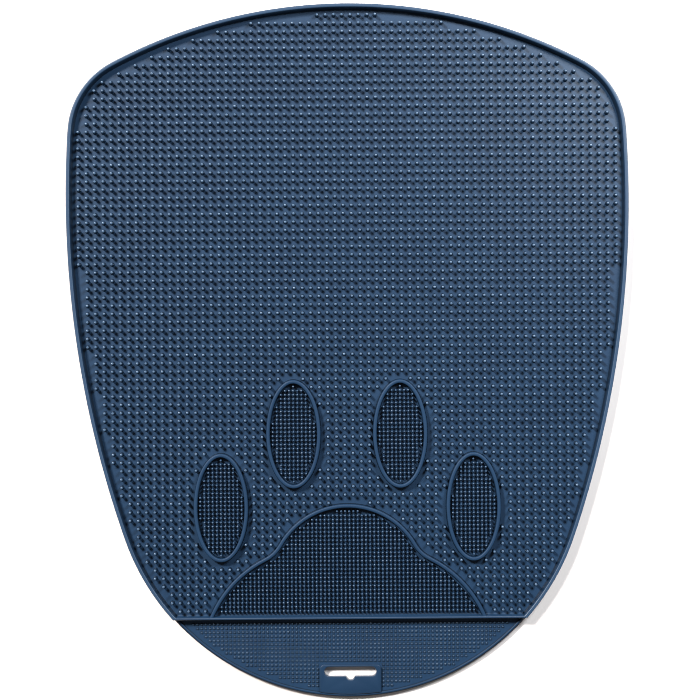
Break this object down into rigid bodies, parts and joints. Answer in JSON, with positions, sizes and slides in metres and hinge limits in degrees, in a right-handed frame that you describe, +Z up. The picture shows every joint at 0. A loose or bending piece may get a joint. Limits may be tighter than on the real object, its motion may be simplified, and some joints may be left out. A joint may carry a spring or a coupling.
{
  "type": "paw cleaning floor mat",
  "caption": "Shield-shaped moulded rubber paw-cleaning mat with a raised rim, bristle field, ringed paw-print pads, low front lip and hang tab slot.",
  "frame": {"origin": "middle of the mat's outline box, on the floor under it", "axes": "+Z up from the floor, +Y from the front lip to the back edge, +X to the right seen from the front"},
  "size_m": [0.345, 0.426, 0.008],
  "materials": {
    "sheet": "satin navy rubber",
    "rim": "satin navy rubber",
    "tab": "satin navy rubber",
    "ring": "satin navy rubber",
    "field_bristle": "satin navy rubber",
    "fine_bristle": "satin navy rubber",
    "lip_nub": "satin navy rubber"
  },
  "bodies": {
    "root": {"base_sheet": "sheet", "rim_left": "rim", "rim_back": "rim", "rim_right": "rim", "cross_wall": "rim", "lip_bead": "tab", "hang_tab": "tab", "toe_ring_outer_left": "ring", "toe_ring_inner_left": "ring", "toe_ring_inner_right": "ring", "toe_ring_outer_right": "ring", "heel_ring": "ring", "back_bristles": "field_bristle", "middle_bristles": "field_bristle", "front_bristles": "field_bristle", "toe_bristles_outer_left": "fine_bristle", "toe_bristles_inner_left": "fine_bristle", "toe_bristles_inner_right": "fine_bristle", "toe_bristles_outer_right": "fine_bristle", "heel_bristles": "fine_bristle", "lip_nubs": "lip_nub"}
  },
  "joints": []
}
